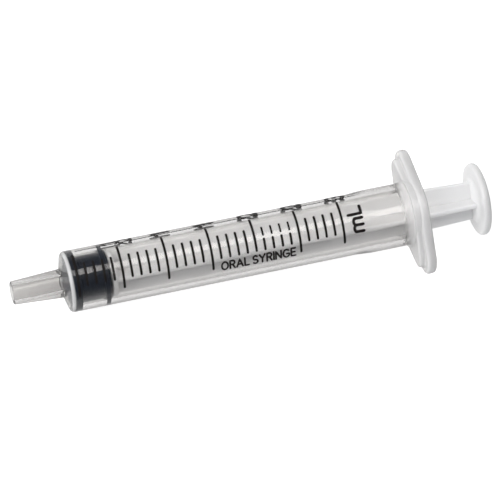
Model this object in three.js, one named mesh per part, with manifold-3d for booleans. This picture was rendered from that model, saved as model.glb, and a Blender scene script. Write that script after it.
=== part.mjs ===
// A 3 mL oral syringe: a clear moulded barrel with a tapered nozzle and finger flange,
// a rubber seal, and a moulded plunger rod that snaps into the seal and ends in a thumb rest.
// Millimetres. The syringe lies along +X, nozzle towards -X, with the printed side of the barrel up.
// All X values below are measured from the zero line of the scale; the group at the end moves them
// so that the origin is at the bottom centre of the whole syringe.
import * as THREE from "three";
import { mergeVertices } from "three/addons/utils/BufferGeometryUtils.js";
import Module from "manifold-3d";

const wasm = await Module();
wasm.setup();

// ---- Driving dimensions ------------------------------------------------------------------
const AROUND = 48; // facets round every turned surface
const ARC_STEPS = 4; // facets along a rounded edge

// Barrel
const boreRadius = 4.47; // 3 mL in 47.8 mm of travel
const barrelWall = 0.93;
const barrelLength = 63.5; // zero line to the rear face of the flange
const frontWall = 0.65; // thickness of the sloping front wall, measured along X
const boreFront = -0.85; // where the bore meets the sloping front wall
const frontSlope = 0.28; // rise of the front wall along X for each millimetre of radius
const shoulderRound = 0.75;
const mouthSwell = 0.2; // extra outer radius near the flange
const swellStart = 13; // how far in front of the flange's rear face the swell starts
const swellLength = 3;
const mouthChamfer = 0.35;

// Nozzle
const nozzleLength = 8.84; // from the foot on the front wall to the open end
const nozzleEndRadius = 2.05;
const nozzleFootRadius = 2.55;
const nozzleRound = 0.25;
const nozzleFillet = 0.35;
const nozzleBoreRadius = 1.2;
const nozzleMouthRadius = 1.35;

// Stop bead inside the mouth, which keeps the plunger from being pulled out
const beadHeight = 0.22;
const beadLength = 0.9;
const beadFromRear = 3.8; // middle of the bead to the rear face of the flange

// Finger flange
const flangeHalfSpan = 11.5; // centre to the end of a wing
const flangeEdge = 1.1; // flange beyond the tube on its narrow sides, on one of which the syringe lies
const flangeThickness = 1.8;
const flangeRimRound = 0.4;
const wingEndRadius = 3.5;
const padHeight = 1.05; // raised grip pad on the front of the flange
const padMargin = 1.4; // from the end of a wing to the end of the pad
const padEndRadius = 2.4;
const padEdge = 0.5; // pad beyond the tube on its narrow sides
const padRound = 0.2;
const flangeFillet = 0.5; // between the barrel and the pad

// Seal
const sealClearance = 0.05; // radial, to the bore
const frontGap = 0.15; // between the seal's cone and the front wall when pushed fully in
const frontRibWidth = 1.3;
const rearRibWidth = 0.8;
const ribDepth = 0.36; // how far the ribs stand out from the body of the seal
const ribSpacing = 5.5; // front rib to rear rib
const frontRibStart = -0.65;
const skirtLength = 0.38;
const skirtRecess = 0.12; // the skirt's radius below the ribs'
const sealFrontRound = 0.35;

// Plunger head and the cavity it snaps into
const sealWall = 1.01; // rubber round the cavity
const headLength = 2.3;
const headFront = 1.7;
const snapStep = 0.8; // how far the head stands out past its neck
const snapClearance = 0.3;

// Plunger rod
const discGap = 0.22; // seal to the plunger's front disc
const discThickness = 0.9;
const beadClearance = 0.15; // radial, between the disc and the stop bead
const rodInset = 0.15; // the ribs' tips below the edge of the disc
const rodNarrowing = 0.5; // how much the ribs narrow towards the thumb rest
const ribThickness = 0.95;
const rodTaperLength = 13;
const ribRoll = THREE.MathUtils.degToRad(-34);
const rodReach = 9.9; // rear face of the flange to the thumb rest, pushed fully in
const thumbRadius = 6.5;
const thumbThickness = 1.4;
const thumbRound = 0.5;
const dishRadius = 4.9;
const dishDepth = 0.2;

// ---- Worked-out places -------------------------------------------------------------------
const barrelRadius = boreRadius + barrelWall;
const nozzleFoot = boreFront - frontWall - frontSlope * (boreRadius - nozzleFootRadius);
const nozzleEnd = nozzleFoot - nozzleLength;
const flangeFront = barrelLength - flangeThickness;
const padFront = flangeFront - padHeight;
const swellX = barrelLength - swellStart;
const mouthRadius = barrelRadius + mouthSwell;
const flangeHalfDepth = mouthRadius + flangeEdge;
const padHalfDepth = mouthRadius + padEdge;
const beadRadius = boreRadius - beadHeight;
const beadMiddle = barrelLength - beadFromRear;
const sealRadius = boreRadius - sealClearance;
const sealBody = sealRadius - ribDepth;
const rearRibStart = frontRibStart + ribSpacing;
const sealRear = rearRibStart + rearRibWidth + skirtLength;
const cavityRadius = sealBody - sealWall;
const headRadius = cavityRadius - snapClearance;
const neckRadius = headRadius - snapStep;
const headRear = headFront + headLength;
const discFront = sealRear + discGap;
const discRear = discFront + discThickness;
const discRadius = beadRadius - beadClearance;
const rodRadius = discRadius - rodInset;
const rodEndRadius = rodRadius - rodNarrowing;
const thumbFront = barrelLength + rodReach;
const thumbRear = thumbFront + thumbThickness;
const axisHeight = Math.max(flangeHalfDepth, thumbRadius); // above what the syringe lies on

// ---- Helpers -----------------------------------------------------------------------------
// Points of a quarter round between two directions, for a turned profile of [x, radius] pairs.
function arc(x, r, size, fromDegrees, toDegrees) {
  const points = [];
  for (let i = 0; i <= ARC_STEPS; i += 1) {
    const angle = THREE.MathUtils.degToRad(fromDegrees + ((toDegrees - fromDegrees) * i) / ARC_STEPS);
    points.push([x + size * Math.cos(angle), r + size * Math.sin(angle)]);
  }
  return points;
}

// A closed mesh as a solid that can be cut and joined.
function toSolid(geometry) {
  geometry.deleteAttribute("normal");
  geometry.deleteAttribute("uv");
  const merged = mergeVertices(geometry, 1e-5);
  const index = merged.getIndex().array;
  const triangles = [];
  for (let i = 0; i < index.length; i += 3) {
    const [a, b, c] = [index[i], index[i + 1], index[i + 2]];
    if (a !== b && b !== c && c !== a) triangles.push(a, b, c);
  }
  return new wasm.Manifold(
    new wasm.Mesh({
      numProp: 3,
      vertProperties: new Float32Array(merged.getAttribute("position").array),
      triVerts: new Uint32Array(triangles),
    }),
  );
}

function toMesh(name, solid, material) {
  const { vertProperties, triVerts } = solid.getMesh();
  const geometry = new THREE.BufferGeometry();
  geometry.setAttribute("position", new THREE.BufferAttribute(new Float32Array(vertProperties), 3));
  geometry.setIndex(new THREE.BufferAttribute(new Uint32Array(triVerts), 1));
  geometry.computeVertexNormals();
  const mesh = new THREE.Mesh(geometry, material);
  mesh.name = name;
  return mesh;
}

// Turns a profile of [x, radius] pairs about the X axis. It starts and ends on the axis.
function turned(profile) {
  const points = profile.map(([x, radius]) => new THREE.Vector2(radius, x));
  const geometry = new THREE.LatheGeometry(points, AROUND);
  geometry.rotateZ(-Math.PI / 2);
  return toSolid(geometry);
}

// The outline of a two-winged plate: a round middle, two round wing ends and straight sides.
function wingedOutline(halfSpan, halfDepth, endRadius) {
  const reach = halfSpan - endRadius;
  const side = Math.acos((halfDepth - endRadius) / reach); // where the straight sides leave the rounds
  const outline = new THREE.Shape();
  outline.absarc(reach, 0, endRadius, -side, side, false);
  outline.absarc(0, 0, halfDepth, side, Math.PI - side, false);
  outline.absarc(-reach, 0, endRadius, Math.PI - side, Math.PI + side, false);
  outline.absarc(0, 0, halfDepth, Math.PI + side, 2 * Math.PI - side, false);
  return outline;
}

// Stands a shape drawn in Y and Z up as a plate from one X to another, with rounded rims.
function plate(outline, fromX, toX, round) {
  const geometry = new THREE.ExtrudeGeometry(outline, {
    depth: toX - fromX - 2 * round,
    bevelThickness: round,
    bevelSize: round,
    bevelOffset: -round,
    bevelSegments: 2,
    curveSegments: 12,
  });
  geometry.translate(0, 0, fromX + round);
  geometry.applyMatrix4(
    new THREE.Matrix4().makeBasis(
      new THREE.Vector3(0, 1, 0),
      new THREE.Vector3(0, 0, 1),
      new THREE.Vector3(1, 0, 0),
    ),
  );
  return toSolid(geometry);
}

// ---- Barrel ------------------------------------------------------------------------------
// The outside: nozzle, sloping front wall, tube and the swell near the mouth.
function barrelOutside() {
  const frontAt = (radius) => boreFront - frontWall + frontSlope * (radius - boreRadius);
  const filletTop = nozzleFootRadius + nozzleFillet;
  return turned([
    [nozzleEnd, 0],
    ...arc(nozzleEnd + nozzleRound, nozzleEndRadius - nozzleRound, nozzleRound, 180, 95),
    ...arc(frontAt(filletTop) - nozzleFillet, filletTop, nozzleFillet, 270, 355),
    ...arc(frontAt(barrelRadius - shoulderRound) + shoulderRound, barrelRadius - shoulderRound,
      shoulderRound, 165, 90),
    [swellX, barrelRadius],
    [swellX + swellLength / 2, barrelRadius + mouthSwell / 2],
    [swellX + swellLength, mouthRadius],
    ...arc(padFront - flangeFillet, mouthRadius + flangeFillet, flangeFillet, 270, 350),
    [padFront + padHeight / 2, mouthRadius + flangeFillet],
    [padFront + padHeight / 2, 0],
  ]);
}

// Everything that is hollow: the nozzle's bore, the bore and the stop bead's waist.
function barrelInside() {
  const coneFoot = boreFront - frontSlope * (boreRadius - nozzleBoreRadius);
  const past = 1;
  return turned([
    [nozzleEnd - past, 0],
    [nozzleEnd - past, nozzleMouthRadius],
    [nozzleEnd, nozzleMouthRadius],
    [coneFoot, nozzleBoreRadius],
    [boreFront, boreRadius],
    [beadMiddle - beadLength / 2, boreRadius],
    [beadMiddle - beadLength / 6, beadRadius],
    [beadMiddle + beadLength / 6, beadRadius],
    [beadMiddle + beadLength / 2, boreRadius],
    [barrelLength - mouthChamfer, boreRadius],
    [barrelLength, boreRadius + mouthChamfer],
    [barrelLength + past, boreRadius + mouthChamfer],
    [barrelLength + past, 0],
  ]);
}

function makeBarrel() {
  const flange = wingedOutline(flangeHalfSpan, flangeHalfDepth, wingEndRadius);
  const pad = wingedOutline(flangeHalfSpan - padMargin, padHalfDepth, padEndRadius);
  const padRear = flangeFront + flangeThickness / 2;
  return barrelOutside()
    .add(plate(flange, flangeFront, barrelLength, flangeRimRound))
    .add(plate(pad, padFront, padRear, padRound))
    .subtract(barrelInside());
}

// ---- Seal --------------------------------------------------------------------------------
// A cone at the front, two ribs that wipe the bore, and a cavity that opens at the rear.
function makeSeal() {
  const coneAt = (radius) => boreFront + frontGap - frontSlope * (boreRadius - radius);
  const cavityFront = headFront - snapClearance;
  const lipFront = headRear + snapClearance;
  const lipRadius = neckRadius + snapClearance;
  const shoulder = sealRadius - sealFrontRound;
  const frontRibEnd = frontRibStart + frontRibWidth;
  const ramp = 0.12;
  return turned([
    [coneAt(0), 0],
    [coneAt(shoulder), shoulder],
    [frontRibStart, sealRadius],
    [frontRibEnd - ramp, sealRadius],
    [frontRibEnd, sealBody],
    [rearRibStart, sealBody],
    [rearRibStart + ramp, sealRadius],
    [rearRibStart + rearRibWidth, sealRadius],
    [rearRibStart + rearRibWidth + ramp, sealRadius - skirtRecess],
    [sealRear, sealRadius - skirtRecess],
    [sealRear, lipRadius],
    [lipFront, lipRadius],
    [lipFront, cavityRadius],
    [cavityFront + headLength / 2, cavityRadius],
    [cavityFront, cavityRadius / 2],
    [cavityFront, 0],
  ]);
}

// ---- Plunger rod -------------------------------------------------------------------------
// The head that snaps into the seal, its neck and the disc that pushes the seal.
function plungerFront() {
  const discRound = 0.15;
  return turned([
    [headFront, 0],
    [headFront, headRadius / 2],
    [headFront + headLength / 2, headRadius],
    [headRear, headRadius],
    [headRear, neckRadius],
    [discFront, neckRadius],
    [discFront, discRadius - discRound],
    [discFront + discRound, discRadius],
    [discRear - discRound, discRadius],
    [discRear, discRadius - discRound],
    [discRear, 0],
  ]);
}

// One flat rib across the whole rod, from the disc to the thumb rest.
function rodRib(roll) {
  const sink = 0.3; // into the disc and the thumb rest
  const taperStart = thumbFront - rodTaperLength;
  const outline = new THREE.Shape([
    new THREE.Vector2(discRear - sink, -rodRadius),
    new THREE.Vector2(taperStart, -rodRadius),
    new THREE.Vector2(thumbFront + sink, -rodEndRadius),
    new THREE.Vector2(thumbFront + sink, rodEndRadius),
    new THREE.Vector2(taperStart, rodRadius),
    new THREE.Vector2(discRear - sink, rodRadius),
  ]);
  const geometry = new THREE.ExtrudeGeometry(outline, { depth: ribThickness, bevelEnabled: false });
  geometry.translate(0, 0, -ribThickness / 2);
  geometry.rotateX(roll);
  return toSolid(geometry);
}

// The round thumb rest, shallowly dished behind.
function thumbRest() {
  const dishWall = 0.3;
  return turned([
    [thumbFront, 0],
    ...arc(thumbFront + thumbRound, thumbRadius - thumbRound, thumbRound, 180, 90),
    ...arc(thumbRear - thumbRound, thumbRadius - thumbRound, thumbRound, 90, 0),
    [thumbRear, dishRadius + dishWall],
    [thumbRear - dishDepth, dishRadius],
    [thumbRear - dishDepth, 0],
  ]);
}

function makePlunger() {
  return plungerFront()
    .add(rodRib(ribRoll))
    .add(rodRib(ribRoll + Math.PI / 2))
    .add(thumbRest());
}

// ---- Assembly ----------------------------------------------------------------------------
const clearPlastic = new THREE.MeshStandardMaterial({
  color: 0xd9dbdc, roughness: 0.18, metalness: 0, transparent: true, opacity: 0.35,
});
const blackRubber = new THREE.MeshStandardMaterial({ color: 0x1b1d22, roughness: 0.55, metalness: 0 });
const milkyPlastic = new THREE.MeshStandardMaterial({ color: 0xdfe1e2, roughness: 0.35, metalness: 0 });

const syringe = new THREE.Group();
syringe.name = "oral_syringe";
syringe.position.set(-(nozzleEnd + thumbRear) / 2, 0, axisHeight);
syringe.add(toMesh("barrel", makeBarrel(), clearPlastic));
syringe.add(toMesh("piston_seal", makeSeal(), blackRubber));
syringe.add(toMesh("plunger_rod", makePlunger(), milkyPlastic));

export default syringe;
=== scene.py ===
# %% [markdown]
# # An oral syringe
#
# An oral syringe measures a few millilitres of liquid medicine. It has three pieces: a clear barrel
# with a nozzle and a finger flange, a black rubber seal, and a milky plunger rod. The design model
# fixes where every piece is and how it moves. This lesson makes the pieces that are seen, round that
# design, and gives each one its finish.

# %% Load the design
import math

import bmesh
import bpy
from mathutils import Matrix, Vector


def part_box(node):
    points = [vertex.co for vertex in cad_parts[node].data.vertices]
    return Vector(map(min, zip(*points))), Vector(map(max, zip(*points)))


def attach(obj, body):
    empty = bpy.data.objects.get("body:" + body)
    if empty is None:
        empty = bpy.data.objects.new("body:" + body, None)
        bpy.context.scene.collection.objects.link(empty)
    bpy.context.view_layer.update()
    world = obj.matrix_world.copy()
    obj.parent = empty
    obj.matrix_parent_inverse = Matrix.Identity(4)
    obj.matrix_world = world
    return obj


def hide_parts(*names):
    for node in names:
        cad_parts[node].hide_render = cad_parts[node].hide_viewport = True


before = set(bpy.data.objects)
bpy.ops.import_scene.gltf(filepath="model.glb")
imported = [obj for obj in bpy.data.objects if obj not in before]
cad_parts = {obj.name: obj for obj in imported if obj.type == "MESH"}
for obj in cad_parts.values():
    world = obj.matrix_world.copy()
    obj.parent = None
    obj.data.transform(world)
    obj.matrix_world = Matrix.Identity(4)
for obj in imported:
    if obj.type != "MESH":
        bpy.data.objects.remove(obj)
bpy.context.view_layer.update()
MM = 0.001

# %% [markdown]
# ## The axis and the zero line
#
# Everything on a syringe is round about one line, so each place needs only two numbers: how far along
# the line it is, and how far from it. Distances along are counted from the zero line of the printed
# scale, as on the real thing. The line's height and the zero line's place come from the design.

# %% Where the axis and the zero line are
NOZZLE_END = -10.878
barrel_low, barrel_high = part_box("barrel")
ZERO_X = barrel_low.x - NOZZLE_END * MM
AXIS_Z = (barrel_low.z + barrel_high.z) / 2
AXIS = Vector((1, 0, 0))
FLANGE_REAR = (barrel_high.x - ZERO_X) / MM
WING_SPAN = barrel_high.y / MM
print("zero line at x =", round(ZERO_X / MM, 3), "mm, flange's rear face at", round(FLANGE_REAR, 3))


def place(along, around_degrees=0.0, radius=0.0):
    """A point in the scene. The turn is counted from straight up towards the left wing, +Y."""
    turn = math.radians(around_degrees)
    return Vector((
        ZERO_X + along * MM,
        radius * MM * math.sin(turn),
        AXIS_Z + radius * MM * math.cos(turn),
    ))


# %% [markdown]
# ## The camera
#
# The syringe is seen from above its nozzle, with a long lens, so its far end is only a little smaller
# than its near end. Aiming a camera with an azimuth, an elevation and a roll keeps the numbers readable.

# %% Camera
CAMERA_AZIMUTH = -42.22
CAMERA_ELEVATION = 72.38
CAMERA_ROLL = 29.41
CAMERA_DISTANCE = 0.6134
CAMERA_AIM = Vector((-0.00015, -0.00088, AXIS_Z))
CAMERA_LENS = 252.0


def camera_turn(azimuth, elevation, roll):
    """A rotation whose Z axis points back from the subject to the camera."""
    a, e = math.radians(azimuth), math.radians(elevation)
    back = Vector((math.sin(a) * math.cos(e), -math.cos(a) * math.cos(e), math.sin(e)))
    right = Vector((math.cos(a), math.sin(a), 0))
    up = back.cross(right)
    turn = Matrix((right, up, back)).transposed()
    return turn @ Matrix.Rotation(math.radians(roll), 3, "Z")


bpy.ops.object.camera_add()
camera = bpy.context.object
camera.name = "camera"
camera.data.lens = CAMERA_LENS
camera.data.sensor_width = 36.0
camera.data.clip_end = 20.0
view_turn = camera_turn(CAMERA_AZIMUTH, CAMERA_ELEVATION, CAMERA_ROLL)
camera.matrix_world = Matrix.Translation(
    CAMERA_AIM + view_turn.col[2] * CAMERA_DISTANCE
) @ view_turn.to_4x4()
bpy.context.scene.camera = camera
print("camera stands at", [round(v, 4) for v in camera.location])

# %% [markdown]
# ## Small helpers for modelling by hand
#
# A new primitive is selected all over, and an operator acts on all that is selected. So each step
# starts by selecting nothing, and then picks the faces or edges it needs by where they are.


# %% Helpers: selecting and joining
def only(piece):
    """Selects one object and makes it the active one."""
    if bpy.context.object and bpy.context.object.mode != "OBJECT":
        bpy.ops.object.mode_set(mode="OBJECT")
    bpy.ops.object.select_all(action="DESELECT")
    piece.select_set(True)
    bpy.context.view_layer.objects.active = piece


def edit(piece):
    only(piece)
    bpy.ops.object.mode_set(mode="EDIT")


def done():
    bpy.ops.object.mode_set(mode="OBJECT")


def apply_modifier(piece, kind, **settings):
    """Adds a modifier, sets it and applies it."""
    only(piece)
    bpy.ops.object.modifier_add(type=kind)
    modifier = piece.modifiers[-1]
    for setting, value in settings.items():
        setattr(modifier, setting, value)
    bpy.ops.object.modifier_apply(modifier=modifier.name)


def combine(piece, tool, operation):
    """Joins a tool to a piece, or cuts the piece with it, and throws the tool away."""
    apply_modifier(piece, "BOOLEAN", object=tool, operation=operation, solver="EXACT")
    bpy.data.objects.remove(tool)


def smooth(piece, degrees=32):
    """Shades round surfaces smoothly and keeps flat faces flat."""
    only(piece)
    bpy.ops.object.shade_smooth_by_angle(angle=math.radians(degrees))
    apply_modifier(piece, "WEIGHTED_NORMAL", keep_sharp=True, weight=80)


def triangles(piece):
    return sum(len(face.vertices) - 2 for face in piece.data.polygons)


# %% [markdown]
# ## Turning a profile
#
# A lathe makes a round part from a profile, and Blender's Spin operator does the same. One vertex is
# extruded along the profile, point by point, and the line is then spun round the axis. A rounded
# corner is a short run of points on an arc, so a profile reads as a list of corners with their radii.


# %% Helpers: profiles and spinning
def rounded(corners, steps=5):
    """Turns [(along, radius, rounding), ...] into points, with each rounded corner as an arc."""
    points = []
    for i, (along, radius, rounding) in enumerate(corners):
        here = Vector((along, radius))
        if rounding == 0 or i in (0, len(corners) - 1):
            points.append(here)
            continue
        before = (Vector(corners[i - 1][:2]) - here).normalized()
        after = (Vector(corners[i + 1][:2]) - here).normalized()
        half = before.angle(after) / 2
        centre = here + (before + after).normalized() * rounding / math.sin(half)
        start = here + before * rounding / math.tan(half) - centre
        end = here + after * rounding / math.tan(half) - centre
        sweep = start.angle_signed(end)
        for k in range(steps + 1):
            points.append(centre + Matrix.Rotation(-sweep * k / steps, 2) @ start)
    return points


def spun(name, points, around=160):
    """A solid turned about the syringe's axis. The profile starts and ends on the axis."""
    bpy.ops.object.select_all(action="DESELECT")
    bpy.ops.mesh.primitive_plane_add(size=MM)
    piece = bpy.context.object
    piece.name = piece.data.name = name
    edit(piece)
    bpy.ops.mesh.merge(type="CENTER")
    spots = [place(along, 0, radius) for along, radius in points]
    bpy.ops.transform.translate(value=spots[0])
    for last, spot in zip(spots, spots[1:]):
        bpy.ops.mesh.extrude_region_move(TRANSFORM_OT_translate={"value": spot - last})
    bpy.ops.mesh.select_all(action="SELECT")
    bpy.ops.mesh.spin(steps=around, angle=math.tau, center=place(0), axis=AXIS)
    bpy.ops.mesh.select_all(action="SELECT")
    bpy.ops.mesh.remove_doubles(threshold=0.0005 * MM)
    bpy.ops.mesh.normals_make_consistent(inside=False)
    done()
    return piece


# %% [markdown]
# ## The barrel
#
# The barrel is one clear moulding: nozzle, sloping front wall, tube and finger flange. Light bends at
# every one of its surfaces, so it has to be one closed skin with a true inner wall, and not a
# tube stuck to a plate. The outside is turned, the flange is joined on, and the bore is cut out last.

# %% Barrel: sizes
BORE = 4.47
WALL = 0.93
OUTSIDE = BORE + WALL
BORE_FRONT = -0.85
FRONT_WALL = 0.65
FRONT_SLOPE = 0.28
MOUTH_SWELL = 0.2
NOZZLE_TIP_RADIUS = 2.05
NOZZLE_FOOT_RADIUS = 2.55
NOZZLE_BORE = 1.2
NOZZLE_MOUTH = 1.35
FLANGE_THICKNESS = 1.8
FLANGE_FRONT = FLANGE_REAR - FLANGE_THICKNESS
WING_END = 3.5
PAD_HEIGHT = 1.05
PAD_FRONT = FLANGE_FRONT - PAD_HEIGHT
PAD_MARGIN = 1.4
PAD_END = 2.4
PAD_EDGE = 0.5
SWELL_BEFORE_REAR = 13.0
SWELL_LENGTH = 3.0
SWELL_ROUND = 12.0
FLANGE_DEPTH = AXIS_Z / MM


def front_wall_at(radius):
    """Where the outside of the sloping front wall is at a radius."""
    return BORE_FRONT - FRONT_WALL + FRONT_SLOPE * (radius - BORE)


# %% Barrel: outside
swell_start = FLANGE_REAR - SWELL_BEFORE_REAR
outside_corners = [
    (NOZZLE_END, 0, 0),
    (NOZZLE_END, NOZZLE_TIP_RADIUS, 0.25),
    (front_wall_at(NOZZLE_FOOT_RADIUS), NOZZLE_FOOT_RADIUS, 0.35),
    (front_wall_at(OUTSIDE), OUTSIDE, 0.75),
    (swell_start, OUTSIDE, SWELL_ROUND),
    (swell_start + SWELL_LENGTH, OUTSIDE + MOUTH_SWELL, SWELL_ROUND),
    (PAD_FRONT, OUTSIDE + MOUTH_SWELL, 0.5),
    (PAD_FRONT, OUTSIDE + MOUTH_SWELL + 0.8, 0),
    (FLANGE_FRONT + 0.3, OUTSIDE + MOUTH_SWELL + 0.8, 0),
    (FLANGE_FRONT + 0.3, 0, 0),
]
barrel = spun("barrel_moulding", rounded(outside_corners, steps=6))
print("barrel outside:", len(barrel.data.polygons), "faces")


# %% Barrel: flange
def winged_plate(name, half_span, half_depth, end_radius, front, rear, rim):
    """A plate with a round middle and two round-ended wings: the hull of three discs, then bevelled."""
    bpy.ops.object.select_all(action="DESELECT")
    reach = half_span - end_radius
    discs = []
    for side, radius in ((-reach, end_radius), (0, half_depth), (reach, end_radius)):
        bpy.ops.mesh.primitive_cylinder_add(
            vertices=96, radius=radius * MM, depth=(rear - front) * MM,
            location=place((front + rear) / 2) + Vector((0, side * MM, 0)),
            rotation=(0, math.pi / 2, 0),
        )
        discs.append(bpy.context.object)
    for disc in discs:
        disc.select_set(True)
    bpy.ops.object.join()
    bpy.ops.object.transform_apply(location=True, rotation=True, scale=True)
    piece = bpy.context.object
    piece.name = piece.data.name = name
    edit(piece)
    bpy.ops.mesh.select_all(action="SELECT")
    bpy.ops.mesh.convex_hull()
    bpy.ops.mesh.select_all(action="SELECT")
    bpy.ops.mesh.dissolve_limited(angle_limit=math.radians(0.2))
    bpy.ops.mesh.select_all(action="DESELECT")
    shape = bmesh.from_edit_mesh(piece.data)
    for edge in shape.edges:
        faces = edge.link_faces
        edge.select = len(faces) == 2 and faces[0].normal.angle(faces[1].normal) > 1.2
    bmesh.update_edit_mesh(piece.data)
    bpy.ops.mesh.bevel(offset=rim * MM, segments=5, affect="EDGES")
    done()
    return piece


flange = winged_plate(
    "flange", WING_SPAN, FLANGE_DEPTH, WING_END, FLANGE_FRONT, FLANGE_REAR, rim=0.55,
)
pad = winged_plate(
    "pad", WING_SPAN - PAD_MARGIN, OUTSIDE + MOUTH_SWELL + PAD_EDGE, PAD_END,
    PAD_FRONT, FLANGE_FRONT + FLANGE_THICKNESS / 2, rim=0.4,
)
combine(flange, pad, "UNION")

# %% Barrel: soften the flange
# A mould leaves no sharp step, so the plate and its pad are remeshed as one skin and smoothed.
apply_modifier(flange, "REMESH", mode="VOXEL", voxel_size=0.16 * MM)
apply_modifier(flange, "SMOOTH", factor=0.6, iterations=14)
combine(barrel, flange, "UNION")
print("barrel with its flange:", len(barrel.data.polygons), "faces")

# %% Barrel: the parting line
# The two halves of the mould leave a hair-thin raised line along the tube.
PARTING_TURN = 51.6
PARTING_RADIUS = 0.08
parting_front, parting_rear = 1.0, PAD_FRONT + 0.5
bpy.ops.object.select_all(action="DESELECT")
bpy.ops.mesh.primitive_cylinder_add(
    vertices=12, radius=PARTING_RADIUS * MM, depth=(parting_rear - parting_front) * MM,
    location=place((parting_front + parting_rear) / 2, PARTING_TURN, OUTSIDE),
    rotation=(0, math.pi / 2, 0),
)
parting_line = bpy.context.object
combine(barrel, parting_line, "UNION")

# %% Barrel: the bore
BEAD_HALF_LENGTH = 0.45
BEAD_ROUND = 0.6
bead_middle = FLANGE_REAR - 3.8
bead = BORE - 0.22
bore_corners = [
    (NOZZLE_END - 1, 0, 0),
    (NOZZLE_END - 1, 1.62, 0),
    (NOZZLE_END, 1.5, 0.12),
    (NOZZLE_END + 0.15, NOZZLE_MOUTH, 0),
    (BORE_FRONT - FRONT_SLOPE * (BORE - NOZZLE_BORE), NOZZLE_BORE, 0.15),
    (BORE_FRONT, BORE, 0.25),
    (bead_middle - BEAD_HALF_LENGTH, BORE, BEAD_ROUND),
    (bead_middle, bead, BEAD_ROUND),
    (bead_middle + BEAD_HALF_LENGTH, BORE, BEAD_ROUND),
    (FLANGE_REAR - 0.35, BORE, 0.3),
    (FLANGE_REAR, BORE + 0.35, 0),
    (FLANGE_REAR + 1, BORE + 0.35, 0),
    (FLANGE_REAR + 1, 0, 0),
]
bore = spun("bore", rounded(bore_corners, steps=4))
combine(barrel, bore, "DIFFERENCE")
smooth(barrel)
print("barrel moulding:", triangles(barrel), "triangles")

# %% [markdown]
# ## The rubber seal
#
# The seal is turned rubber: a cone in front, two ribs that wipe the bore and a short skirt. The ribs
# are squeezed against the glass-clear wall, so here they reach two hundredths of a millimetre into it.
# With no film of air between them, the black shows through the wall right to the barrel's edge.

# %% Seal
SQUEEZE = 0.02
RIB = BORE + SQUEEZE
SEAL_BODY = 4.06
FRONT_RIB = -0.65
FRONT_RIB_REAR = FRONT_RIB + 1.3
REAR_RIB = FRONT_RIB + 5.5
REAR_RIB_REAR = REAR_RIB + 0.8
SEAL_REAR = REAR_RIB_REAR + 0.38
SEAL_SKIRT = 4.3
CAVITY = 3.05
CAVITY_MOUTH = 2.25
HEAD_REAR = 4.0


def cone_at(radius):
    return BORE_FRONT + 0.15 - FRONT_SLOPE * (BORE - radius)


seal_corners = [
    (cone_at(0), 0, 0),
    (cone_at(4.1), 4.1, 0.2),
    (FRONT_RIB, RIB, 0.08),
    (FRONT_RIB_REAR, RIB, 0.15),
    (FRONT_RIB_REAR + 0.1, SEAL_BODY, 0.1),
    (REAR_RIB - 0.05, SEAL_BODY, 0.1),
    (REAR_RIB, RIB, 0.12),
    (REAR_RIB_REAR, RIB, 0.15),
    (REAR_RIB_REAR + 0.12, SEAL_SKIRT, 0.05),
    (SEAL_REAR, SEAL_SKIRT, 0.15),
    (SEAL_REAR, CAVITY_MOUTH, 0.1),
    (HEAD_REAR + 0.3, CAVITY_MOUTH, 0),
    (HEAD_REAR + 0.3, CAVITY, 0),
    (2.55, CAVITY, 0),
    (1.4, 1.5, 0),
    (1.4, 0, 0),
]
seal = spun("rubber_seal", rounded(seal_corners, steps=4))
smooth(seal)
print("rubber seal:", triangles(seal), "triangles")

# %% [markdown]
# ## The plunger rod
#
# The rod is moulded with two crossing ribs, so that it is stiff with little plastic. In front it has
# a head that snaps into the seal and a disc that pushes it, and behind it widens into the thumb rest.
# The turned ends and the ribs are joined, and the joints are softened as a mould would make them.

# %% Plunger rod: sizes
DISC_FRONT = SEAL_REAR + 0.22
DISC_REAR = DISC_FRONT + 0.9
DISC = 4.1
HEAD = 2.75
NECK = 1.95
ROD = 3.95
ROD_END = 3.45
ROD_TAPER = 13.0
ROD_RIB = 0.95
ROD_ROLL = -34.0
THUMB_FRONT = FLANGE_REAR + 9.9
THUMB = 6.5
THUMB_REAR = THUMB_FRONT + 1.4

# %% Plunger rod: head and disc
head_corners = [
    (1.7, 0, 0),
    (1.7, 1.38, 0.3),
    (2.85, HEAD, 0.3),
    (HEAD_REAR, HEAD, 0.12),
    (HEAD_REAR, NECK, 0.1),
    (DISC_FRONT, NECK, 0.1),
    (DISC_FRONT, DISC, 0.2),
    (DISC_REAR, DISC, 0.2),
    (DISC_REAR, 0, 0),
]
rod = spun("plunger_moulding", rounded(head_corners, steps=4), around=128)


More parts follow.
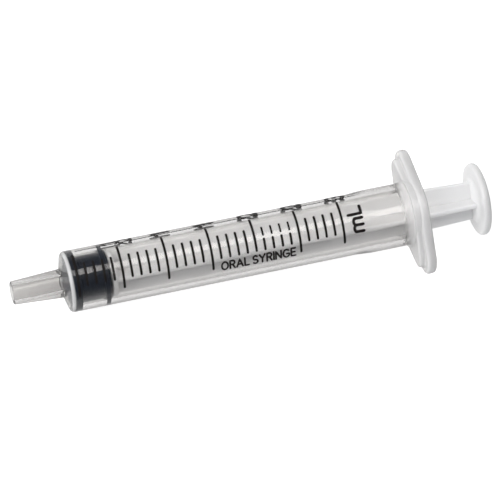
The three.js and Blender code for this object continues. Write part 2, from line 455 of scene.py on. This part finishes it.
# %% Plunger rod: ribs
def rod_rib(turn):
    """One flat rib from the disc to the thumb rest: a box whose far end is narrowed."""
    front, rear = DISC_REAR - 0.3, THUMB_FRONT + 0.3
    bpy.ops.object.select_all(action="DESELECT")
    bpy.ops.mesh.primitive_cube_add(size=1, location=(0, 0, 0))
    rib = bpy.context.object
    rib.scale = ((rear - front) * MM, ROD_RIB * MM, 2 * ROD * MM)
    bpy.ops.object.transform_apply(location=False, rotation=False, scale=True)
    taper_share = (rear - ROD_TAPER - (front + rear) / 2) * MM
    edit(rib)
    bpy.ops.mesh.select_all(action="SELECT")
    bpy.ops.mesh.bisect(plane_co=(taper_share, 0, 0), plane_no=(1, 0, 0))
    bpy.ops.mesh.select_all(action="DESELECT")
    shape = bmesh.from_edit_mesh(rib.data)
    for vertex in shape.verts:
        vertex.select = vertex.co.x > (rear - front) * MM * 0.49
    shape.select_flush(True)
    bmesh.update_edit_mesh(rib.data)
    bpy.ops.transform.resize(value=(1, 1, ROD_END / ROD), center_override=(0, 0, 0))
    bpy.ops.mesh.select_all(action="DESELECT")
    shape = bmesh.from_edit_mesh(rib.data)
    for edge in shape.edges:
        along = abs((edge.verts[0].co - edge.verts[1].co).normalized().x)
        edge.select = along > 0.9 and abs(edge.verts[0].co.y) > 0.1 * MM
    bmesh.update_edit_mesh(rib.data)
    bpy.ops.mesh.bevel(offset=0.34 * MM, segments=5, affect="EDGES")
    done()
    rib.rotation_euler = (math.radians(turn), 0, 0)
    rib.location = place((front + rear) / 2)
    bpy.ops.object.transform_apply(location=True, rotation=True, scale=True)
    return rib


cross = rod_rib(-ROD_ROLL)
combine(cross, rod_rib(-ROD_ROLL + 90), "UNION")

# %% Plunger rod: fillets between the ribs
only(cross)
edit(cross)
bpy.ops.mesh.select_all(action="DESELECT")
shape = bmesh.from_edit_mesh(cross.data)
for edge in shape.edges:
    middle = (edge.verts[0].co + edge.verts[1].co) / 2
    near_axis = math.hypot(middle.y, middle.z - AXIS_Z) < 0.9 * MM
    runs_along = abs((edge.verts[0].co - edge.verts[1].co).normalized().x) > 0.95
    edge.select = near_axis and runs_along
bmesh.update_edit_mesh(cross.data)
bpy.ops.mesh.bevel(offset=0.35 * MM, segments=4, affect="EDGES")
done()
combine(rod, cross, "UNION")

# %% Plunger rod: thumb rest
thumb_corners = [
    (THUMB_FRONT - 0.6, 0, 0),
    (THUMB_FRONT - 0.6, 3.2, 0),
    (THUMB_FRONT, 4.2, 0.8),
    (THUMB_FRONT, THUMB, 0.6),
    (THUMB_REAR, THUMB, 0.6),
    (THUMB_REAR, 5.2, 0.4),
    (THUMB_REAR - 0.2, 4.6, 0.6),
    (THUMB_REAR - 0.2, 0, 0),
]
thumb = spun("thumb_rest", rounded(thumb_corners, steps=6), around=160)
combine(rod, thumb, "UNION")
smooth(rod)
print("plunger moulding:", triangles(rod), "triangles")

# %% [markdown]
# ## The printed scale
#
# The scale is ink on the outside of the barrel. Each mark and numeral is drawn flat as a few pen
# strokes and then wrapped round the barrel. A curve with a round bevel gives a stroke of even width
# with round ends, as a printing pad leaves it, and flattening it leaves a film of ink.

# %% Scale: sizes
ML = 3000 / (math.pi * BORE ** 2) / 3
STROKE = 0.44
INK = 0.012
PRINT_TURN = -3.3
PRINT_SHIFT = 0.1
LONG_MARK = (-44.1, 44.4)
SHORT_MARK = (-25.3, 20.9)
SKEW = 0.022
print("one millilitre is", round(ML, 3), "mm of travel")


# %% Scale: pens and wrapping
def arc_points(centre, radii, start, end, steps=12):
    """Points on part of an ellipse, in degrees counted anticlockwise from the right."""
    turns = [math.radians(start + (end - start) * k / steps) for k in range(steps + 1)]
    return [(centre[0] + radii[0] * math.cos(t), centre[1] + radii[1] * math.sin(t)) for t in turns]


def dense(points, spacing=0.25):
    """Splits long straight stretches, so that a stroke can bend round the barrel."""
    result = [Vector(points[0])]
    for point in points[1:]:
        start, end = result[-1], Vector(point)
        pieces = max(1, math.ceil((end - start).length / spacing))
        result += [start.lerp(end, k / pieces) for k in range(1, pieces + 1)]
    return result


def rounded_ends(points, radius):
    """Points with the pen's radius at each, growing from nothing to full over half a stroke width."""
    def cap(end, inner):
        outwards = (end - inner).normalized()
        return [
            (end + outwards * radius * math.sin(math.radians(t)), math.cos(math.radians(t)))
            for t in (25, 50, 70, 84)
        ]
    head = cap(points[0], points[1])
    tail = cap(points[-1], points[-2])
    return head[::-1] + [(p, 1.0) for p in points] + tail


ink_strokes = []


def draw(points, along, around, width=STROKE, lengthwise=False):
    """One pen stroke. Its points are (rightwards, upwards) in mm. Up is towards the nozzle, or, for
    lengthwise lettering, rightwards is towards the thumb rest."""
    stroke = []
    for p, share in rounded_ends(dense(points), width / 2):
        x, y = (p.x, p.y) if lengthwise else (-p.y, p.x)
        stroke.append((along + x, around + y, share * width / 2))
    ink_strokes.append(stroke)


# %% Scale: marks
def arc_length(degrees):
    return math.radians(degrees) * OUTSIDE


WORN_MARKS = (21, 22, 23, 24)
WORN_PLACE = 0.0
WORN_GAP = 0.75
WORN_PEN = 0.36

for tenth in range(31):
    is_long = tenth % 5 == 0
    low, high = LONG_MARK if is_long else SHORT_MARK
    if tenth == 20:
        low = SHORT_MARK[0]
    foot, top = arc_length(low) + STROKE / 2, arc_length(high) - STROKE / 2
    if tenth in WORN_MARKS:
        draw([(foot, 0), (WORN_PLACE - WORN_GAP / 2, 0)], tenth * ML / 10, 0)
        draw([(WORN_PLACE + WORN_GAP / 2, 0), (top, 0)], tenth * ML / 10, 0, WORN_PEN)
    else:
        draw([(foot, 0), (top, 0)], tenth * ML / 10, 0)

# %% [markdown]
# ## Numerals
#
# The numerals stand beside the long marks with their tops towards the nozzle. They are plain drawing
# office figures, made of straight strokes and arcs, so a handful of points gives each one.

# %% Scale: glyphs
DIGITS = {
    "1": (0.62, [[(0.0, 0.74), (0.32, 1.0), (0.32, 0.0)]]),
    "2": (0.66, [arc_points((0.33, 0.68), (0.33, 0.32), 165, -40, 14) + [(0.0, 0.0), (0.66, 0.0)]]),
    "3": (0.66, [
        arc_points((0.32, 0.75), (0.30, 0.25), 150, -90, 12)
        + arc_points((0.32, 0.26), (0.34, 0.26), 90, -150, 12),
    ]),
}


NUMERAL_HEIGHT = 3.0
NUMERAL_PEN = 0.82
NUMERAL_FOOT = 0.1 + NUMERAL_HEIGHT / 2
NUMERAL_EDGE = arc_length(LONG_MARK[1]) + 0.8


def write(glyph, along, around, height):
    """Writes one figure with its foot at a place, and returns its width."""
    width, strokes = DIGITS[glyph]
    for stroke in strokes:
        pen = NUMERAL_PEN * height / NUMERAL_HEIGHT
        draw([(x * height, y * height) for x, y in stroke], along, around, pen)
    return width * height


LONE_HALF_HEIGHT = 2.25
SMALL_HALF_HEIGHT = 1.4


def write_half(along, around, height):
    """A stacked one over two, with the bar between them."""
    gap = 0.35 * height
    write("1", along - height - gap, around + 0.1 * height, height)
    draw([(0, 0), (0.7 * height, 0)], along - height - gap / 2, around, width=0.13 * height)
    write("2", along, around, height)


for half in range(1, 7):
    whole, is_half = divmod(half, 2)
    along = half * ML / 2 + NUMERAL_FOOT
    around = NUMERAL_EDGE
    if whole:
        around += write(str(whole), along, around, NUMERAL_HEIGHT) + 0.5
    if is_half:
        write_half(along + (0 if whole else 1.2), around, SMALL_HALF_HEIGHT if whole else LONE_HALF_HEIGHT)

# %% Scale: the unit
unit_foot = 51.4
UNIT_PEN = 0.54
M_LEFT = -2.4
M_ARCH = 1.18
for leg in range(3):
    foot = M_LEFT + M_ARCH * leg
    draw([(foot, 0), (foot, 1.4)], unit_foot, 0, UNIT_PEN)
for arch in range(2):
    middle = M_LEFT + M_ARCH * (arch + 0.5)
    draw(arc_points((middle, 1.15), (M_ARCH / 2, 0.5), 180, 0, 8), unit_foot, 0, UNIT_PEN)
draw([(0.75, 2.35), (0.75, 0), (2.15, 0)], unit_foot, 0, UNIT_PEN)


# %% [markdown]
# ## The lettering under the scale
#
# The barrel carries a few words in line with it. Here they say what the thing is, in plain capitals
# made of straight strokes and arcs, one pen wide.

# %% Scale: capitals
CAPITALS = {
    "A": (0.74, [[(0, 0), (0.37, 1), (0.74, 0)], [(0.14, 0.34), (0.6, 0.34)]]),
    "E": (0.52, [[(0.52, 0), (0, 0), (0, 1), (0.52, 1)], [(0, 0.52), (0.44, 0.52)]]),
    "G": (0.74, [arc_points((0.4, 0.5), (0.4, 0.5), 48, 330, 18) + [(0.74, 0.46), (0.44, 0.46)]]),
    "I": (0.0, [[(0, 0), (0, 1)]]),
    "L": (0.5, [[(0, 1), (0, 0), (0.5, 0)]]),
    "N": (0.66, [[(0, 0), (0, 1), (0.66, 0), (0.66, 1)]]),
    "O": (0.78, [arc_points((0.39, 0.5), (0.39, 0.5), 90, 450, 22)]),
    "R": (0.58, [
        [(0, 0), (0, 1), (0.3, 1)] + arc_points((0.3, 0.75), (0.26, 0.25), 80, -90, 8) + [(0, 0.5)],
        [(0.3, 0.5), (0.58, 0)],
    ]),
    "S": (0.56, [
        arc_points((0.28, 0.75), (0.26, 0.25), 35, 270, 12)
        + arc_points((0.28, 0.25), (0.28, 0.25), 80, -145, 12),
    ]),
    "Y": (0.66, [[(0, 1), (0.33, 0.5), (0.66, 1)], [(0.33, 0.5), (0.33, 0)]]),
}
CAPITAL_HEIGHT = 1.45
CAPITAL_PEN = 0.35
CAPITAL_GAP = 0.38
WORDS = "ORAL SYRINGE"
WORDS_FRONT = 25.4
WORDS_FOOT = arc_length(-47.5)

pen_at = WORDS_FRONT
for letter in WORDS:
    if letter == " ":
        pen_at += CAPITAL_GAP
        continue
    width, strokes = CAPITALS[letter]
    for stroke in strokes:
        sized = [(x * CAPITAL_HEIGHT, y * CAPITAL_HEIGHT) for x, y in stroke]
        draw(sized, pen_at, WORDS_FOOT, CAPITAL_PEN, lengthwise=True)
    pen_at += width * CAPITAL_HEIGHT + CAPITAL_GAP
print("the words end", round(pen_at - CAPITAL_GAP, 1), "mm behind the zero line")


# %% Scale: ink
def make_ink(name):
    """Draws every stroke as a bevelled curve, makes it a mesh and wraps it round the barrel."""
    bpy.ops.object.select_all(action="DESELECT")
    curve = bpy.data.curves.new(name, "CURVE")
    curve.dimensions = "3D"
    curve.bevel_depth = 1.0
    curve.bevel_resolution = 2
    curve.use_fill_caps = True
    for stroke in ink_strokes:
        spline = curve.splines.new("POLY")
        spline.points.add(len(stroke) - 1)
        for point, (along, around, radius) in zip(spline.points, stroke):
            point.co = (along, around, 0, 1)
            point.radius = radius
    ink = bpy.data.objects.new(name, curve)
    bpy.context.collection.objects.link(ink)
    only(ink)
    bpy.ops.object.convert(target="MESH")
    for vertex in ink.data.vertices:
        along, around, height = vertex.co
        film = height * 2 * INK / STROKE
        swell = min(max((along - swell_start) / SWELL_LENGTH, 0), 1) * MOUTH_SWELL
        vertex.co = place(
            along + PRINT_SHIFT + SKEW * around,
            PRINT_TURN + math.degrees(around / OUTSIDE),
            OUTSIDE + swell + film + INK * 0.5,
        )
    edit(ink)
    bpy.ops.mesh.select_all(action="SELECT")
    bpy.ops.mesh.normals_make_consistent(inside=False)
    done()
    bpy.ops.object.shade_smooth()
    return ink


ink = make_ink("scale_print")
print("scale print:", len(ink_strokes), "strokes,", triangles(ink), "triangles")


# %% [markdown]
# ## Finishes
#
# Each finish is built from nodes and reads Object coordinates, so its pattern stays on the piece when
# it moves.


# %% Helpers: node materials
def new_material(name):
    material = bpy.data.materials.new(name)
    material.use_nodes = True
    tree = material.node_tree
    tree.nodes.clear()
    return material, tree


def node(tree, kind, inputs=None, **settings):
    """Adds a node. An input is a number or colour, or another node's output to link."""
    made = tree.nodes.new(kind)
    for setting, value in settings.items():
        setattr(made, setting, value)
    for socket, value in (inputs or {}).items():
        if isinstance(value, bpy.types.NodeSocket):
            tree.links.new(value, made.inputs[socket])
        else:
            made.inputs[socket].default_value = value
    return made


def noise(tree, scale, detail=3.0):
    """Noise in millimetres on the piece, from 0 to 1."""
    coordinates = node(tree, "ShaderNodeTexCoord")
    mapping = node(tree, "ShaderNodeMapping", {
        "Vector": coordinates.outputs["Object"], "Scale": (1 / MM, 1 / MM, 1 / MM),
    })
    return node(tree, "ShaderNodeTexNoise", {
        "Vector": mapping.outputs[0], "Scale": scale, "Detail": detail,
    }).outputs["Fac"]


def between(tree, value, low, high):
    """Spreads a 0 to 1 value over a range."""
    return node(tree, "ShaderNodeMapRange", {
        "Value": value, "From Min": 0.3, "From Max": 0.7, "To Min": low, "To Max": high,
    }).outputs[0]


# %% Helpers: values that change along the syringe
def along_axis(tree, start, end, low=0.0, high=1.0):
    """A value that turns smoothly from low to high between two places along the axis."""
    coordinates = node(tree, "ShaderNodeTexCoord")
    split = node(tree, "ShaderNodeSeparateXYZ", {0: coordinates.outputs["Object"]})
    return node(tree, "ShaderNodeMapRange", {
        "Value": split.outputs["X"], "From Min": place(start).x, "From Max": place(end).x,
        "To Min": low, "To Max": high,
    }, interpolation_type="SMOOTHSTEP").outputs[0]


def from_axis(tree, start, end, low=0.0, high=1.0):
    """A value that turns smoothly from low to high between two radii."""
    coordinates = node(tree, "ShaderNodeTexCoord")
    centred = node(tree, "ShaderNodeMapping", {
        "Vector": coordinates.outputs["Object"], "Location": (0, 0, -AXIS_Z), "Scale": (0, 1, 1),
    })
    radius = node(tree, "ShaderNodeVectorMath", {0: centred.outputs[0]}, operation="LENGTH")
    return node(tree, "ShaderNodeMapRange", {
        "Value": radius.outputs["Value"], "From Min": start * MM, "From Max": end * MM,
        "To Min": low, "To Max": high,
    }, interpolation_type="SMOOTHSTEP").outputs[0]


def blend_colour(tree, share, low, high):
    return node(tree, "ShaderNodeMix", {"Factor": share, 6: low, 7: high}, data_type="RGBA").outputs[2]


def largest(tree, a, b):
    return node(tree, "ShaderNodeMath", {0: a, 1: b}, operation="MAXIMUM").outputs[0]


# %% Finish: clear plastic
def clear_plastic():
    material, tree = new_material("clear_plastic")
    thick_front = node(tree, "ShaderNodeMath", {
        0: along_axis(tree, -0.55, -0.95), 1: from_axis(tree, 4.8, 5.2, 0.03, 0.6),
    }, operation="MULTIPLY")
    milk = largest(tree, along_axis(tree, 58.7, 60.7, 0.0, 0.68), thick_front.outputs[0])
    roughness = node(tree, "ShaderNodeMapRange", {"Value": milk, "To Min": 0.06, "To Max": 0.34})
    clarity = node(tree, "ShaderNodeMath", {0: 1.0, 1: milk}, operation="SUBTRACT")
    grazing = node(tree, "ShaderNodeLayerWeight", {"Blend": 0.5})
    rim = node(tree, "ShaderNodeMapRange", {
        "Value": grazing.outputs["Facing"], "From Min": 0.45, "From Max": 0.78,
    }, interpolation_type="SMOOTHSTEP")
    thick = along_axis(tree, -1.5, -3.0)
    face_tint = blend_colour(tree, thick, (0.95, 0.945, 0.94, 1), (0.8, 0.79, 0.78, 1))
    tint = blend_colour(tree, rim.outputs[0], face_tint, (0.34, 0.325, 0.31, 1))
    clear = node(tree, "ShaderNodeBsdfPrincipled", {
        "Base Color": blend_colour(tree, milk, tint, (0.71, 0.707, 0.707, 1)),
        "Roughness": roughness.outputs[0], "IOR": 1.49, "Transmission Weight": clarity.outputs[0],
        "Subsurface Weight": 1.0, "Subsurface Radius": (1, 1, 1), "Subsurface Scale": 1.5 * MM,
    })
    depth = node(tree, "ShaderNodeVolumeAbsorption", {"Color": (0.1, 0.08, 0.06, 1), "Density": 120.0})
    lamp_way = node(tree, "ShaderNodeBsdfTransparent", {"Color": (0.96, 0.96, 0.96, 1)})
    path = node(tree, "ShaderNodeLightPath")
    mixed = node(tree, "ShaderNodeMixShader", {
        0: path.outputs["Is Shadow Ray"], 1: clear.outputs[0], 2: lamp_way.outputs[0],
    })
    node(tree, "ShaderNodeOutputMaterial", {"Surface": mixed.outputs[0], "Volume": depth.outputs[0]})
    return material


# %% Finish: black rubber
def black_rubber():
    material, tree = new_material("black_rubber")
    grain = noise(tree, 6.0)
    bump = node(tree, "ShaderNodeBump", {"Height": grain, "Strength": 0.1, "Distance": 0.01 * MM})
    rubber = node(tree, "ShaderNodeBsdfPrincipled", {
        "Base Color": (0.007, 0.01, 0.018, 1), "Roughness": between(tree, grain, 0.35, 0.45),
        "Specular IOR Level": 0.35, "Normal": bump.outputs[0],
    })
    node(tree, "ShaderNodeOutputMaterial", {"Surface": rubber.outputs[0]})
    return material


# %% Finish: milky plastic
def milky_plastic():
    material, tree = new_material("milky_plastic")
    cloud = noise(tree, 0.4, 2.0)
    # The thumb rest gets a darker copy of the rod's colour: painted shade, not a different plastic.
    rest = along_axis(tree, THUMB_FRONT - 0.5, THUMB_FRONT + 0.3)
    plastic = node(tree, "ShaderNodeBsdfPrincipled", {
        "Base Color": blend_colour(tree, rest, (0.87, 0.868, 0.868, 1), (0.72, 0.718, 0.716, 1)),
        "Roughness": between(tree, cloud, 0.28, 0.36),
        "IOR": 1.49, "Transmission Weight": 0.12,
        "Subsurface Weight": 1.0, "Subsurface Radius": (1, 1, 1), "Subsurface Scale": 1.5 * MM,
    })
    node(tree, "ShaderNodeOutputMaterial", {"Surface": plastic.outputs[0]})
    return material


# %% Finish: ink
def black_ink():
    material, tree = new_material("scale_ink")
    grain = noise(tree, 5.0, 4.0)
    print_ink = node(tree, "ShaderNodeBsdfPrincipled", {
        "Base Color": blend_colour(tree, grain, (0.004, 0.003, 0.003, 1), (0.014, 0.01, 0.009, 1)),
        "Roughness": between(tree, grain, 0.5, 0.65), "Specular IOR Level": 0.2,
    })
    node(tree, "ShaderNodeOutputMaterial", {"Surface": print_ink.outputs[0]})
    return material


# %% Give the pieces their finishes and bodies
def finish_piece(piece, material, body, slot, *replaced):
    piece.data.materials.clear()
    piece.data.materials.append(material)
    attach(piece, body)
    if replaced:
        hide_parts(*replaced)


finish_piece(barrel, clear_plastic(), "barrel", "clear_plastic", "barrel")
finish_piece(seal, black_rubber(), "seal", "black_rubber", "piston_seal")
finish_piece(rod, milky_plastic(), "plunger", "milky_plastic", "plunger_rod")
finish_piece(ink, black_ink(), "barrel", "scale_ink")

# %% [markdown]
# ## Floor and light
#
# The syringe lies on a white table that glows softly, as a light table does. It rests on its flange
# and on the front of its barrel, so the table is laid under those two places. One long softbox above
# gives the bright line along the barrel, and a square one beyond the nozzle lights the rod inside it.

# %% Floor
flange_foot = place(FLANGE_FRONT + 0.7, 180, FLANGE_DEPTH)
front_foot = place(0.0, 180, OUTSIDE)
floor_slope = math.atan2(front_foot.z - flange_foot.z, flange_foot.x - front_foot.x)
bpy.ops.object.select_all(action="DESELECT")
bpy.ops.mesh.primitive_plane_add(size=3.0, location=flange_foot, rotation=(0, floor_slope, 0))
floor = bpy.context.object
floor.name = "floor"
floor_material, tree = new_material("floor_white")
floor_paint = node(tree, "ShaderNodeBsdfDiffuse", {"Color": (0.45, 0.45, 0.45, 1)})
path = node(tree, "ShaderNodeLightPath")
glow = node(tree, "ShaderNodeMapRange", {
    "Value": path.outputs["Is Camera Ray"], "To Min": 0.58, "To Max": 0.86,
})
floor_glow = node(tree, "ShaderNodeEmission", {"Strength": glow.outputs[0]})
floor_sum = node(tree, "ShaderNodeAddShader", {0: floor_paint.outputs[0], 1: floor_glow.outputs[0]})
node(tree, "ShaderNodeOutputMaterial", {"Surface": floor_sum.outputs[0]})
floor.data.materials.append(floor_material)


# %% Lights
def softbox(name, turn, distance, along, size, power):
    """A rectangular light above the syringe, turned about its axis and facing it."""
    bpy.ops.object.light_add(type="AREA")
    lamp = bpy.context.object
    lamp.name = name
    lamp.data.shape = "RECTANGLE"
    lamp.data.size, lamp.data.size_y = size
    lamp.data.energy = power
    lamp.location = place(0, turn, distance / MM) + Vector((along, 0, 0))
    target = Vector((0, 0, AXIS_Z))
    lamp.rotation_euler = (lamp.location - target).to_track_quat("Z", "Y").to_euler()
    return lamp


key = softbox("overhead_softbox", 13, 1.0, 0.2, (1.4, 0.31), 4.7)
key.data.color = (1.0, 0.97, 0.94)
fill = softbox("nozzle_side_softbox", 10, 0.75, -0.8, (0.8, 0.8), 11.3)

# %% World
world = bpy.data.worlds.new("studio")
world.use_nodes = True
tree = world.node_tree
sky = node(tree, "ShaderNodeTexCoord")
height = node(tree, "ShaderNodeSeparateXYZ", {0: sky.outputs["Generated"]})
upwards = node(tree, "ShaderNodeMapRange", {
    "Value": height.outputs["Z"], "From Min": 0.05, "From Max": 0.6,
}, interpolation_type="SMOOTHSTEP")
room = blend_colour(tree, upwards.outputs[0], (0.4, 0.4, 0.4, 1), (0.1, 0.115, 0.14, 1))
path = node(tree, "ShaderNodeLightPath")
seen = blend_colour(tree, path.outputs["Is Camera Ray"], room, (0.9, 0.9, 0.9, 1))
tree.links.new(seen, tree.nodes["Background"].inputs["Color"])
bpy.context.scene.world = world
bpy.context.scene.view_settings.view_transform = "Standard"
